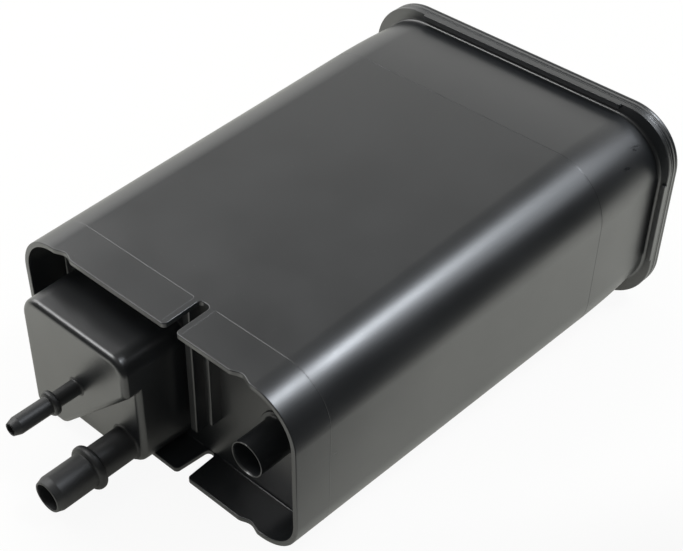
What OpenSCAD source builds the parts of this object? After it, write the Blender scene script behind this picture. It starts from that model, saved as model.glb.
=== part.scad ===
// Charcoal canister for fuel vapour: a drafted moulded body with an open front skirt, a port box
// with two hose ports, a vent tube and a welded rear cover, over two packed carbon chambers.
// X is across the body, Y runs from the ports to the rear cover, Z is up.
// Lengths along the body are measured from the front rim, heights from the body axis.

/* [Shell] */
// Width of the shell at the front rim
front_w = 154; // [140:1:166]
// Height of the shell at the front rim
front_h = 84.6; // [78:0.2:95]
// Corner radius at the front rim
front_r = 21.8; // [16:0.2:26]
// Width of the shell at its parting line
belly_w = 164.2; // [158:0.2:168]
// Height of the shell at its parting line
belly_h = 95.6; // [90:0.2:100]
// Corner radius at the parting line
belly_r = 27; // [20:0.2:32]
// Width of the shell where it meets the flange
neck_w = 163; // [155:0.2:167]
// Height of the shell where it meets the flange
neck_h = 93.6; // [88:0.2:99]
// Corner radius where the shell meets the flange
neck_r = 26; // [20:0.2:32]
// Length from the front rim to the parting line
belly_y = 185; // [150:1:200]
// Length from the front rim to the weld plane
body_len = 232.6; // [220:0.2:280]
// Wall thickness of the shell
wall = 2.5; // [2:0.1:3.5]

/* [Front skirt] */
// Depth of the open skirt in front of the end plate
skirt_depth = 18.8; // [14:0.2:24]
// Wall thickness of the skirt
skirt_wall = 2.4; // [1.8:0.1:3.2]
// Thickness of the end plate
plate_t = 2.5; // [2:0.1:4]
// Lean of the rim, from its upper edge back to its lower edge, in degrees
rim_tilt = 1; // [0:0.1:2]
// Middle of the upper bracket slot, across the body
upper_slot_x = 12.8; // [11.5:0.1:15]
// Width of the upper bracket slot
upper_slot_w = 5.9; // [5:0.1:7]
// Middle of the lower bracket slot, across the body
lower_slot_x = 11.2; // [10:0.1:15]
// Width of the lower bracket slot
lower_slot_w = 4.5; // [4.4:0.1:7]
// Corner radius at the closed end and at the mouth of a slot
slot_r = 2.1; // [1:0.1:2.1]
// Distance of the rim scallops from the middle
scallop_x = 49.5; // [40:0.5:52]
// Radius of a rim scallop
scallop_r = 12; // [8:0.5:20]
// Depth of a rim scallop
scallop_depth = 1.7; // [0.5:0.1:3]
// Height of the guide ribs on the end plate
rib_h = 5.6; // [3:0.1:8]
// Distance of the guide ribs from the upper bracket slot
rib_gap = 0.9; // [0.3:0.1:1.5]
// Thickness of the wide guide rib
wide_rib_t = 4; // [2:0.1:4.2]
// Thickness of the narrow guide rib
narrow_rib_t = 1.8; // [1.2:0.1:2.4]
// Lower end of the wide guide rib
wide_rib_z = -27; // [-32:0.5:-10]
// Lower end of the narrow guide rib
narrow_rib_z = -16; // [-30:0.5:0]

/* [Port box] */
// Middle of the port box, across the body
box_x = -31.7; // [-34:0.1:-31]
// Width of the port box
box_w = 62.6; // [58:0.2:64]
// Height of the middle of the port box over the body axis
box_z = -8.2; // [-8.6:0.1:-7]
// Height of the port box
box_h = 62.8; // [60:0.2:63.6]
// Reach of the box's front face in front of the rim
box_reach = 13.8; // [10:0.2:20]
// Depth of the step below the diagonal
box_step = 6; // [3:0.1:8]
// Width of the flat below the front face, left of the diagonal
box_foot = 18; // [14:0.1:24]
// Radius of the box's top left edge
box_left_r = 10.5; // [6:0.1:12]
// Radius of the box's top right edge
box_right_r = 8; // [5:0.1:10]
// Radius of the box's edge round the tank port
box_tank_r = 10.5; // [8:0.1:11]
// Radius of the box's lower left edge
box_low_r = 6; // [4.5:0.1:8]
// Radius at both ends of the diagonal
diagonal_r = 4; // [3.8:0.1:6]
// Fillet round the box's front faces
box_fillet = 2.7; // [1.5:0.1:3.6]
// Growth of each side of the box down to the end plate
box_draft = 1.1; // [0.2:0.1:1.5]
// Wall thickness of the box
box_wall = 2.2; // [1.8:0.1:3]

/* [Tank port] */
// Position of the tank port across the body
tank_x = -11; // [-12.4:0.1:-10.6]
// Height of the tank port over the body axis
tank_z = -30.1; // [-30.4:0.1:-28]
// Outside diameter of the tank port's spigot
tank_od = 15.82; // [14:0.02:17]
// Bore of the tank port
tank_bore = 12; // [9:0.1:12.2]
// Diameter of the tank port's bead
tank_bead_od = 20; // [18:0.1:22]
// Width of the tank port's bead
tank_bead_w = 4.4; // [3:0.1:6]
// Distance of the tank port's bead from its tip
tank_bead_at = 21.7; // [16:0.1:26]
// Reach of the tank port's tip in front of the rim
tank_reach = 48.8; // [44:0.2:60]

/* [Purge port] */
// Position of the purge port across the body
purge_x = -31.8; // [-38:0.1:-28]
// Height of the purge port over the body axis
purge_z = -8.2; // [-12:0.1:4]
// Outside diameter of the purge port's spigot
purge_od = 7.89; // [6:0.01:10]
// Bore of the purge port
purge_bore = 5; // [3:0.1:5.4]
// Diameter of the purge port's bead
purge_bead_od = 11.2; // [10.4:0.1:14]
// Width of the purge port's bead
purge_bead_w = 3.4; // [2.4:0.1:5]
// Distance of the purge port's bead from its tip
purge_bead_at = 20; // [15:0.1:24]
// Reach of the purge port's tip in front of the rim
purge_reach = 46.8; // [42:0.2:48.6]

/* [Vent tube] */
// Position of the vent tube across the body
vent_x = 51.6; // [46:0.1:56]
// Outside diameter of the vent tube
vent_od = 16; // [12:0.1:20]
// Wall thickness of the vent tube
vent_wall = 1; // [0.8:0.1:2.5]
// Distance of the tube's mouth behind the rim
vent_inset = 0.2; // [0.1:0.1:4]
// Width of the collar round the tube's foot
vent_collar = 2.2; // [1:0.1:3]
// Height of the collar
vent_collar_h = 0.9; // [0.5:0.1:3]

/* [Weld flange] */
// Width of the flange
flange_w = 172; // [170:0.2:190]
// Height of the flange
flange_h = 103.4; // [102:0.2:120]
// Corner radius of the flange
flange_r = 26.2; // [20:0.2:34]
// Thickness of the body's flange
flange_t = 2; // [1.5:0.1:4]
// Thickness of the grip strips on the flange's straight runs
strip_t = 1.3; // [0.5:0.1:2]
// Depth of the grip strips from the flange's edge
strip_d = 2.4; // [1:0.1:3.2]
// Length of the upper and lower grip strips
strip_w = 113; // [60:1:115]
// Length of the side grip strips
strip_h = 43; // [20:1:46]
// Fillet between the shell and the flange
neck_fillet = 1.5; // [0.5:0.1:2]

/* [Rear cover] */
// Thickness of the cover
cover_t = 5.4; // [4:0.1:7]
// Width of the weld groove
weld_w = 1.8; // [1:0.1:2.2]
// Depth of the weld groove
weld_d = 0.6; // [0.3:0.1:1]
// Depth of the pockets between the cover's ribs
pocket_d = 2.2; // [1:0.1:2.6]
// Border of the cover round its pockets
cover_border = 9; // [6:0.5:14]
// Thickness of the cover's ribs
cover_rib_t = 1.8; // [1.2:0.1:3]
// Number of pockets across the cover
pockets_x = 6; // [3:1:9]
// Number of pockets up the cover
pockets_z = 4; // [2:1:6]
// Length of the locating rim inside the body
spigot_len = 5; // [3:0.2:8]
// Thickness of the locating rim
spigot_t = 2; // [1.4:0.1:3]

/* [Chambers] */
// Middle of the partition, across the body
part_x = 12.4; // [5:0.1:20]
// Thickness of the partition
part_t = 2.5; // [1.8:0.1:3.5]
// Passage left between the partition and the cover
turn_gap = 14; // [10:0.5:16]
// Depth of the ledge that carries the front grids
ledge_h = 6; // [4:0.5:10]
// Width of the ledge
ledge_w = 3; // [2:0.1:4]
// Thickness of the front grids
grid_t = 2.5; // [1.5:0.1:4]
// Thickness of the felt pads
pad_t = 5; // [3:0.1:8]
// Thickness of the retainer plates
retainer_t = 2.5; // [1.5:0.1:4]
// Height of the retainer plates' rim
retainer_rim_h = 5; // [3:0.1:8]
// Thickness of the retainer plates' rim
retainer_rim_t = 1.8; // [1.2:0.1:2.5]
// Pitch of the grid openings
mesh_pitch = 8; // [6:0.5:12]
// Thickness of the bars between grid openings
mesh_bar = 2; // [1.4:0.1:3]
// Clearance of the loose pieces inside the chambers
fit_gap = 0.3; // [0.2:0.05:0.6]

/* [Springs] */
// Fitted length of a spring
spring_len = 18; // [14:0.5:22]
// Mean diameter of a spring's coil
spring_d = 22; // [16:0.5:26]
// Wire diameter of a spring
wire_d = 1.8; // [1.2:0.1:2.4]
// Number of turns in a spring
spring_turns = 3.5; // [2.5:0.5:5]
// Distance of the two main springs from their middle
spring_x = 20; // [15:0.5:24]
// Length of the bosses that centre the springs
boss_len = 5; // [3:0.5:7]
// Clearance between a boss and its spring
boss_gap = 0.5; // [0.2:0.1:1.5]

/* [Hidden] */
$fn = 64;
eps = 0.01;
hull_fn = 48;
plate_y = skirt_depth + plate_t;
flange_y = body_len - flange_t;
cover_y = body_len + cover_t;
middle_y = (cover_y - tank_reach) / 2;
axis_z = flange_h / 2;
box_left = box_x - box_w / 2;
box_right = box_x + box_w / 2;
box_top = box_z + box_h / 2;
box_bottom = box_z - box_h / 2;
box_face = -box_reach;
box_low_face = box_face + box_step;
foot_x = box_left + box_foot;
skirt_z = front_h / 2 - skirt_wall;
rim_set = front_h * tan(rim_tilt);
wide_rib_x = upper_slot_x - upper_slot_w / 2 - rib_gap - wide_rib_t / 2;
narrow_rib_x = upper_slot_x + upper_slot_w / 2 + rib_gap + narrow_rib_t / 2;
bead_round = 0.45;
port_fillet = 1;
port_nose = 3;
port_nose_d = 0.9;
port_edge = 0.5;
stem_cut = 0.4;
grid_y = plate_y + ledge_h;
pad_y = grid_y + grid_t;
bed_y = pad_y + pad_t;
retainer_end = body_len - spring_len;
retainer_y = retainer_end - retainer_t;
rear_pad_y = retainer_y - pad_t;
part_end = body_len - turn_gap;
boss_r = spring_d / 2 - wire_d / 2 - boss_gap;
main_x = (part_x - part_t / 2 - cavity_w(body_len) / 2) / 2;
vent_mid_x = (part_x + part_t / 2 + cavity_w(body_len) / 2) / 2;
far = 400;
black = [0.07, 0.07, 0.075];

// Cavity sizes grow with the draft up to the parting line, then stay level to the weld plane.
function blend(a, b, y) = a + (b - a) * min(y / belly_y, 1);
function cavity_w(y) = blend(front_w, neck_w, y) - 2 * wall;
function cavity_h(y) = blend(front_h, neck_h, y) - 2 * wall;
function cavity_r(y) = blend(front_r, neck_r, y) - wall;

// The row stands on the flange, with its middle at the origin.
module placed() {
    translate([0, -middle_y, axis_z]) children();
}

// Extrudes an outline in X and Z from depth y towards the rear.
module along_y(y, length) {
    translate([0, y + length, 0]) rotate([90, 0, 0]) linear_extrude(length) children();
}

module rounded(w, h, r) {
    square([w - 2 * r, h], center = true);
    square([w, h - 2 * r], center = true);
    for (sx = [-1, 1], sz = [-1, 1])
        translate([sx * (w / 2 - r), sz * (h / 2 - r)]) circle(r);
}

// A rectangle with its own radius at each corner: top left, top right, bottom right, bottom left.
module rounded_each(w, h, r) {
    x = w / 2;
    z = h / 2;
    polygon([
        [-x, z - r[0]], [-x + r[0], z], [x - r[1], z], [x, z - r[1]],
        [x, -z + r[2]], [x - r[2], -z], [-x + r[3], -z], [-x, -z + r[3]]
    ]);
    translate([-x + r[0], z - r[0]]) circle(r[0]);
    translate([x - r[1], z - r[1]]) circle(r[1]);
    translate([x - r[2], -z + r[2]]) circle(r[2]);
    translate([-x + r[3], -z + r[3]]) circle(r[3]);
}

// Lofts between two rounded sections.
module loft(y0, w0, h0, r0, y1, w1, h1, r1) {
    hull() {
        along_y(y0, eps) rounded(w0, h0, r0, $fn = hull_fn);
        along_y(y1 - eps, eps) rounded(w1, h1, r1, $fn = hull_fn);
    }
}

// Outline of one chamber at depth y, side -1 for the main chamber and 1 for the vent chamber.
module chamber(side, y, gap) {
    edge = part_x + side * (part_t / 2 + gap);
    intersection() {
        rounded(cavity_w(y) - 2 * gap, cavity_h(y) - 2 * gap, cavity_r(y) - gap);
        translate([side > 0 ? edge : edge - far, -far / 2]) square([far, far]);
    }
}

module shell() {
    loft(0, front_w, front_h, front_r, belly_y, belly_w, belly_h, belly_r);
    loft(belly_y - eps, belly_w, belly_h, belly_r, flange_y, neck_w, neck_h, neck_r);
    loft(flange_y - neck_fillet, neck_w, neck_h, neck_r,
         flange_y, neck_w + 2 * neck_fillet, neck_h + 2 * neck_fillet, neck_r + neck_fillet);
    along_y(flange_y, flange_t) rounded(flange_w, flange_h, flange_r);
    grip_strips();
}

module grip_strips() {
    for (s = [-1, 1]) {
        along_y(flange_y - strip_t, strip_t + eps)
            translate([0, s * (flange_h - strip_d) / 2]) square([strip_w, strip_d], center = true);
        along_y(flange_y - strip_t, strip_t + eps)
            translate([s * (flange_w - strip_d) / 2, 0]) square([strip_d, strip_h], center = true);
    }
}

// A slot in plan, with a round end at the end plate and rounded lips at the rim.
module slot(x, w, rim) {
    translate([x, 0]) {
        translate([-w / 2, -1]) square([w, skirt_depth + 1 - slot_r]);
        translate([-w / 2 + slot_r, -1]) square([w - 2 * slot_r, skirt_depth + 1]);
        for (s = [-1, 1]) {
            translate([s * (w / 2 - slot_r), skirt_depth - slot_r]) circle(slot_r);
            difference() {
                translate([s * w / 2 - (s < 0 ? slot_r : 0), -1]) square([slot_r, 1 + rim + slot_r]);
                translate([s * (w / 2 + slot_r), rim + slot_r]) circle(slot_r);
            }
        }
    }
}

module slots() {
    linear_extrude(far) slot(upper_slot_x, upper_slot_w, 0);
    translate([0, 0, -far]) linear_extrude(far) slot(lower_slot_x, lower_slot_w, rim_set);
}

// Leans its children back about the rim's upper edge.
module at_rim() {
    translate([0, 0, front_h / 2]) rotate([rim_tilt, 0, 0]) translate([0, 0, -far / 2]) children();
}

module rim_cut() {
    at_rim() {
        translate([-far / 2, -far, 0]) cube([far, far, far]);
        for (s = [-1, 1])
            translate([s * scallop_x, scallop_depth - scallop_r, 0]) cylinder(h = far, r = scallop_r);
    }
}

module skirt_opening() {
    along_y(-1, skirt_depth + 1)
        rounded(front_w - 2 * skirt_wall, front_h - 2 * skirt_wall, front_r - skirt_wall);
}

module chambers() {
    for (side = [-1, 1])
        along_y(plate_y, ledge_h + eps) chamber(side, plate_y, ledge_w);
    difference() {
        union() {
            loft(grid_y, cavity_w(grid_y), cavity_h(grid_y), cavity_r(grid_y),
                 belly_y, cavity_w(belly_y), cavity_h(belly_y), cavity_r(belly_y));
            along_y(belly_y - eps, body_len - belly_y + 1)
                rounded(cavity_w(belly_y), cavity_h(belly_y), cavity_r(belly_y));
        }
        translate([part_x - part_t / 2, 0, -far / 2]) cube([part_t, part_end, far]);
    }
}

// A rounded block with filleted front edges and drafted sides, from its corner circles [x, z, r].
module block(corners, face) {
    hull() {
        for (a = [0 : 22.5 : 90], c = corners)
            translate([c[0], face + box_fillet * (1 - cos(a)), c[1]]) rotate([-90, 0, 0])
                cylinder(h = eps, r = c[2] - box_fillet * (1 - sin(a)), $fn = 32);
        for (c = corners)
            translate([c[0], skirt_depth + eps, c[1]]) rotate([90, 0, 0])
                cylinder(h = eps, r = c[2] + box_draft, $fn = 32);
    }
}

function box_corners() = [
    [box_left + box_left_r, box_top - box_left_r, box_left_r],
    [box_right - box_right_r, box_top - box_right_r, box_right_r],
    [box_right - box_tank_r, box_bottom + box_tank_r, box_tank_r],
    [box_left + box_low_r, box_bottom + box_low_r, box_low_r]
];

// The raised front keeps the upper left of the box, above a diagonal at 45 degrees.
function raised_corners() = [
    box_corners()[0],
    box_corners()[1],
    [box_right - diagonal_r, box_bottom + box_right - foot_x + diagonal_r * (sqrt(2) - 1), diagonal_r],
    [foot_x + diagonal_r * (1 - sqrt(2)), box_bottom + diagonal_r, diagonal_r],
    box_corners()[3]
];

module port_box() {
    block(box_corners(), box_low_face);
    block(raised_corners(), box_face);
}

// The box's outline drawn in by the given amount.
module box_outline(inset) {
    translate([box_x, box_z]) rounded_each(box_w - 2 * inset, box_h - 2 * inset,
        [box_left_r - inset, box_right_r - inset, box_tank_r - inset, box_low_r - inset]);
}

module port_box_cavity() {
    low_front = box_low_face + box_wall;
    along_y(low_front, plate_y - low_front + eps) box_outline(box_wall);
    inset = box_wall + box_fillet / 2;
    rise = box_right - inset - foot_x + inset * (sqrt(2) - 1);
    along_y(box_face + box_wall, box_step + eps) intersection() {
        box_outline(inset);
        polygon([
            [box_left, box_bottom + inset],
            [box_left, box_top],
            [box_right - inset, box_top],
            [box_right - inset, box_bottom + inset + rise],
            [foot_x - inset * (sqrt(2) - 1), box_bottom + inset]
        ]);
    }
}

// A hose port turned about its axis, from its foot on a face to its tip.
module port(od, bead_od, bead_w, bead_at, length) {
    r = od / 2;
    stem_r = r - stem_cut;
    bead_r = bead_w * bead_round;
    bead_h = length - bead_at;
    rotate([90, 0, 0]) rotate_extrude() polygon(concat(
        [[0, -box_wall / 2], [stem_r + port_fillet, -box_wall / 2]],
        [for (a = [0 : 15 : 90])
            [stem_r + port_fillet * (1 - sin(a)), port_fillet * (1 - cos(a))]],
        [[stem_r, bead_h - bead_w / 2]],
        [for (a = [-90 : 15 : 0])
            [bead_od / 2 - bead_r * (1 - cos(a)), bead_h - bead_w / 2 + bead_r * (1 + sin(a))]],
        [for (a = [0 : 15 : 90])
            [bead_od / 2 - bead_r * (1 - cos(a)), bead_h + bead_w / 2 - bead_r * (1 - sin(a))]],
        [[r, bead_h + bead_w / 2], [r, length - port_nose], [r - port_nose_d, length - port_edge],
         [r - port_nose_d - port_edge, length], [0, length]]
    ));
}

// The bore of a port, opened out at the tip.
module port_bore(bore, nose_r, length) {
    rotate([90, 0, 0]) {
        translate([0, 0, -box_wall - box_fillet]) cylinder(h = length + box_wall + box_fillet + 1, d = bore);
        translate([0, 0, length - port_edge]) cylinder(h = 1, r1 = bore / 2, r2 = nose_r);
    }
}

module at_tank() {
    translate([tank_x, box_low_face, tank_z]) children();
}

module at_purge() {
    translate([purge_x, box_face, purge_z]) children();
}

module at_vent() {
    translate([vent_x, skirt_depth, 0]) rotate([90, 0, 0]) children();
}

module vent_tube() {
    at_vent() {
        translate([0, 0, -plate_t / 2]) cylinder(h = skirt_depth - vent_inset + plate_t / 2, d = vent_od);
        translate([0, 0, -plate_t / 2])
            cylinder(h = vent_collar_h + plate_t / 2, d = vent_od + 2 * vent_collar);
    }
}

// A rib on the end plate from a rounded lower end up to the top of the skirt.
module guide_rib(x, t, z) {
    translate([x - t / 2, skirt_depth - rib_h, z + t / 2])
        cube([t, rib_h + plate_t / 2, skirt_z + skirt_wall / 2 - z - t / 2]);
    translate([x, skirt_depth - rib_h, z + t / 2]) rotate([-90, 0, 0])
        cylinder(h = rib_h + plate_t / 2, d = t);
}

module canister_body() {
    color(black) placed() difference() {
        union() {
            difference() {
                shell();
                skirt_opening();
                slots();
                rim_cut();
                chambers();
            }
            port_box();
            at_tank() port(tank_od, tank_bead_od, tank_bead_w, tank_bead_at, tank_reach + box_low_face);
            at_purge() port(purge_od, purge_bead_od, purge_bead_w, purge_bead_at, purge_reach + box_face);
            vent_tube();
            guide_rib(wide_rib_x, wide_rib_t, wide_rib_z);
            guide_rib(narrow_rib_x, narrow_rib_t, narrow_rib_z);
        }
        port_box_cavity();
        at_tank() port_bore(tank_bore, tank_od / 2 - port_nose_d - port_edge, tank_reach + box_low_face);
        at_purge() port_bore(purge_bore, purge_od / 2 - port_nose_d - port_edge, purge_reach + box_face);
        at_vent() translate([0, 0, -plate_t - eps])
            cylinder(h = skirt_depth + plate_t + 1, d = vent_od - 2 * vent_wall);
    }
}

module cover_pockets() {
    w = flange_w - 2 * cover_border;
    h = flange_h - 2 * cover_border;
    difference() {
        rounded(w, h, flange_r - cover_border);
        for (i = [1 : pockets_x - 1])
            translate([w * (i / pockets_x - 0.5), 0]) square([cover_rib_t, h + 1], center = true);
        for (i = [1 : pockets_z - 1])
            translate([0, h * (i / pockets_z - 0.5)]) square([w + 1, cover_rib_t], center = true);
    }
}

module spring_bosses(y, length) {
    for (x = [main_x - spring_x, main_x + spring_x, vent_mid_x])
        translate([x, y + length, 0]) rotate([90, 0, 0]) cylinder(h = length, r = boss_r);
}

module rear_cover() {
    color(black) placed() {
        difference() {
            union() {
                along_y(body_len, weld_w + eps)
                    rounded(flange_w - 2 * weld_d, flange_h - 2 * weld_d, flange_r - weld_d);
                along_y(body_len + weld_w, cover_t - weld_w) rounded(flange_w, flange_h, flange_r);
            }
            along_y(cover_y - pocket_d, pocket_d + 1) cover_pockets();
        }
        along_y(body_len - spigot_len, spigot_len + eps) difference() {
            w = cavity_w(body_len) - 2 * fit_gap;
            h = cavity_h(body_len) - 2 * fit_gap;
            r = cavity_r(body_len) - fit_gap;
            rounded(w, h, r);
            rounded(w - 2 * spigot_t, h - 2 * spigot_t, r - spigot_t);
        }
        spring_bosses(body_len - boss_len, boss_len + eps);
    }
}

module carbon_bed(side) {
    color([0.03, 0.03, 0.03]) placed() hull() {
        along_y(bed_y, eps) chamber(side, bed_y, fit_gap, $fn = hull_fn);
        along_y(rear_pad_y - eps, eps) chamber(side, rear_pad_y, fit_gap, $fn = hull_fn);
    }
}

module felt_pad(side, y) {
    color([0.85, 0.84, 0.8]) placed() along_y(y, pad_t) chamber(side, y, fit_gap);
}

// Square openings over one chamber, within a solid border.
module mesh(side, y, border) {
    n = floor(far / mesh_pitch / 2);
    intersection() {
        chamber(side, y, border);
        for (i = [-n : n], j = [-n : n])
            translate([(i + 0.5) * mesh_pitch, (j + 0.5) * mesh_pitch])
                square(mesh_pitch - mesh_bar, center = true);
    }
}

module front_grid(side) {
    color([0.16, 0.16, 0.17]) placed() along_y(grid_y, grid_t) difference() {
        chamber(side, grid_y, fit_gap);
        mesh(side, grid_y, ledge_w + fit_gap);
    }
}

module spring_seats(side) {
    for (x = side < 0 ? [main_x - spring_x, main_x + spring_x] : [vent_mid_x])
        translate([x, 0]) circle(spring_d / 2 + wire_d);
}

module retainer_plate(side) {
    color([0.16, 0.16, 0.17]) placed() {
        along_y(retainer_y, retainer_t) difference() {
            chamber(side, retainer_y, fit_gap);
            difference() {
                mesh(side, retainer_y, retainer_rim_t + fit_gap);
                spring_seats(side);
            }
        }
        along_y(retainer_end - eps, retainer_rim_h) difference() {
            chamber(side, retainer_y, fit_gap);
            chamber(side, retainer_y, fit_gap + retainer_rim_t);
        }
    }
}

// Wire swept along a helix, with six sides and a ring every 20 degrees.
module spring(x) {
    sides = 6;
    rings = ceil(spring_turns * 18);
    seat = wire_d / 2 + eps;
    rise = spring_len - 2 * seat;
    points = [
        for (i = [0 : rings], k = [0 : sides - 1])
            let (turn = 360 * spring_turns * i / rings, a = 360 * k / sides)
            let (r = spring_d / 2 + wire_d / 2 * cos(a))
            [r * cos(turn), retainer_end + seat + rise * i / rings + wire_d / 2 * sin(a), r * sin(turn)]
    ];
    sides_faces = [
        for (i = [0 : rings - 1], k = [0 : sides - 1])
            let (k2 = (k + 1) % sides)
            [i * sides + k, i * sides + k2, (i + 1) * sides + k2, (i + 1) * sides + k]
    ];
    ends = [
        [for (k = [sides - 1 : -1 : 0]) k],
        [for (k = [0 : sides - 1]) rings * sides + k]
    ];
    color([0.6, 0.61, 0.62]) placed() translate([x, 0, 0])
        polyhedron(points, concat(sides_faces, ends));
}

canister_body();
rear_cover();
carbon_bed(-1);  // main_carbon_bed
carbon_bed(1);  // vent_carbon_bed
felt_pad(-1, pad_y);  // main_front_pad
felt_pad(1, pad_y);  // vent_front_pad
felt_pad(-1, rear_pad_y);  // main_rear_pad
felt_pad(1, rear_pad_y);  // vent_rear_pad
front_grid(-1);  // main_front_grid
front_grid(1);  // vent_front_grid
retainer_plate(-1);  // main_retainer_plate
retainer_plate(1);  // vent_retainer_plate
spring(main_x - spring_x);  // main_spring_left
spring(main_x + spring_x);  // main_spring_right
spring(vent_mid_x);  // vent_spring
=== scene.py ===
import math

import bmesh
import bpy
import numpy as np
from mathutils import Matrix, Vector
from mathutils.geometry import delaunay_2d_cdt


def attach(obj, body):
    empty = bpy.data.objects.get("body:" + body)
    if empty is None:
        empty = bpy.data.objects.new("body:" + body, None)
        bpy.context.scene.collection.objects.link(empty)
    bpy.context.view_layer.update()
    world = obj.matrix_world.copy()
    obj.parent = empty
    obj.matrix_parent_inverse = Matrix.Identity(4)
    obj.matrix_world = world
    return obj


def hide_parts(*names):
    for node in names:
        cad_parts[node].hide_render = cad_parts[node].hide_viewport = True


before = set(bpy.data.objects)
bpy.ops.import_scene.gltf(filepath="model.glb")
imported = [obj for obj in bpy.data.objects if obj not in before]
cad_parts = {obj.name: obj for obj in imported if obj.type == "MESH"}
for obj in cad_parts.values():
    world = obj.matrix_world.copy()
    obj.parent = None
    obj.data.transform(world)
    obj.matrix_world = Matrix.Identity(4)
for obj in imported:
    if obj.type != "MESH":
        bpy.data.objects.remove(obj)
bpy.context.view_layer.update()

# Lengths are in millimetres: x across the body, y from the front rim, z from the body axis.
MM_PER_M = 1000.0
MID_Y = 94.6
AXIS_Z = 51.7

# Sections of the body along y: width, height and corner radius.
FRONT = (154.0, 84.6, 21.8)
BELLY = (164.2, 95.6, 27.0)
NECK = (163.0, 93.6, 26.0)
FLANGE = (172.0, 103.4, 26.2)
BELLY_Y = 185.0
FLANGE_Y = 230.6
WELD_Y = 232.6
COVER_Y = 238.0

# Slopes of the skin before and behind its widest section, and its greatest rise behind it.
DRAFT = 0.029
REAR_DRAFT = 0.0175
REAR_SWELL = 0.4
NECK_FILLET = 1.5
FLANGE_EDGE = 0.35
WELD_EDGE = 0.25
PARTING_WIDTH, PARTING_DEPTH, PARTING_TILT = 0.6, 0.2, 0.6

# The open skirt, and the plate that closes the chambers behind it.
WALL = 2.4
LIP = 0.4
RIM_TILT = math.radians(1.0)
PLATE_Y = 18.8
PLATE_FILLET = 0.7
PLATE_INTO_WALL = 0.2
# Faces this far inside the edge of the vent hole are left out.
HOLE_SLACK = 0.1

# Middle and width of the bracket slots in the upper and lower walls.
UPPER_SLOT = (12.8, 5.9)
LOWER_SLOT = (11.2, 4.5)
# How far each edge of the lower slot opens out towards the rim.
LOWER_FLARE = 0.8
SLOT_R = 2.1
SLOT_END = 18.6
SLOT_CLEAR = 1.0

# Scallops in the rim, two on each long wall; the shape is the power of their cosine.
SCALLOP_X = 49.5
SCALLOP_HALF = 5.6
SCALLOP_DEPTH = 1.7
SCALLOP_SHAPE = 0.8

VENT_X, VENT_R, VENT_BORE = 51.6, 8.0, 7.0


# Helpers for shapes

def to_row(points):
    """Metres in the frame from millimetres in the design's own place."""
    return (np.asarray(points, dtype=float) + np.array([0.0, -MID_Y, AXIS_Z])) / MM_PER_M


def unit(v):
    v = np.asarray(v, dtype=float)
    return v / np.maximum(np.linalg.norm(v, axis=-1, keepdims=True), 1e-12)


def quarter(count):
    """Angles over a quarter turn, with both ends."""
    return np.linspace(0, math.pi / 2, count)


def facing(count, y):
    """Normals of a flat that looks along y."""
    return np.tile((0.0, y, 0.0), (count, 1))


def weighted_normals(points, faces):
    """Vertex normals weighted by face area, so that large flats stay flat beside small fillets."""
    normals = np.zeros_like(points)
    for f in faces:
        q = points[list(f)]
        n = np.cross(q, np.roll(q, -1, axis=0)).sum(axis=0)
        normals[list(f)] += n
    return unit(normals)


class Surface:
    """Collects vertices in millimetres, faces and normals for one piece."""

    def __init__(self):
        self.points = []
        self.normals = []
        self.faces = []
        self.count = 0

    def add(self, points, faces, normals=None):
        points = np.asarray(points, dtype=float)
        if normals is None:
            normals = weighted_normals(points, faces)
        self.points.append(points)
        self.normals.append(unit(normals))
        self.faces.extend([tuple(int(i) + self.count for i in f) for f in faces])
        self.count += len(points)

    def grid(self, points, normals=None, closed=True, keep=None):
        """points[row][column]; faces lie between neighbouring columns that are both kept."""
        points = np.asarray(points, dtype=float)
        rows, cols = points.shape[:2]
        if keep is None:
            keep = [True] * cols
        faces = []
        for i in range(rows - 1):
            for j in range(cols if closed else cols - 1):
                k = (j + 1) % cols
                if keep[j] and keep[k]:
                    faces.append((i * cols + j, i * cols + k, (i + 1) * cols + k, (i + 1) * cols + j))
        if normals is not None:
            normals = np.asarray(normals).reshape(-1, 3)
        self.add(points.reshape(-1, 3), faces, normals)

    def cap(self, loop, y):
        """Closes a loop of points with one flat face that looks along y."""
        self.add(loop, [tuple(range(len(loop)))], facing(len(loop), y))

    def build(self, name, material, node):
        points = np.concatenate(self.points)
        normals = np.concatenate(self.normals)
        mesh = bpy.data.meshes.new(name)
        mesh.from_pydata(to_row(points).tolist(), [], self.faces)
        mesh.validate(clean_customdata=False)
        mesh.update()
        # Faces follow the normals that were worked out with the shape.
        turned = bmesh.new()
        turned.from_mesh(mesh)
        for f in turned.faces:
            f.smooth = True
            want = sum((Vector(normals[v.index]) for v in f.verts), Vector())
            if f.normal.dot(want) < 0:
                f.normal_flip()
        turned.to_mesh(mesh)
        turned.free()
        mesh.normals_split_custom_set_from_vertices(normals.tolist())
        obj = bpy.data.objects.new(name, mesh)
        bpy.context.collection.objects.link(obj)
        mesh.materials.append(material)
        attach(obj, "root")
        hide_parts(node)


# Helpers for shader nodes

def feed(tree, node, inputs):
    """Gives each input its constant, or the socket that feeds it."""
    for key, value in inputs.items():
        if isinstance(value, bpy.types.NodeSocket):
            tree.links.new(value, node.inputs[key])
        else:
            node.inputs[key].default_value = value


def add_node(tree, kind, inputs=None, **settings):
    node = tree.nodes.new(kind)
    for key, value in settings.items():
        setattr(node, key, value)
    feed(tree, node, inputs or {})
    return node


def maths(tree, operation, *values):
    """A maths node over sockets or numbers."""
    return add_node(tree, "ShaderNodeMath", dict(enumerate(values)), operation=operation).outputs["Value"]


def greatest(tree, first, *others):
    for value in others:
        first = maths(tree, "MAXIMUM", first, value)
    return first


def along(tree, vector, direction):
    inputs = {0: vector, 1: direction}
    return add_node(tree, "ShaderNodeVectorMath", inputs, operation="DOT_PRODUCT").outputs["Value"]


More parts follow.
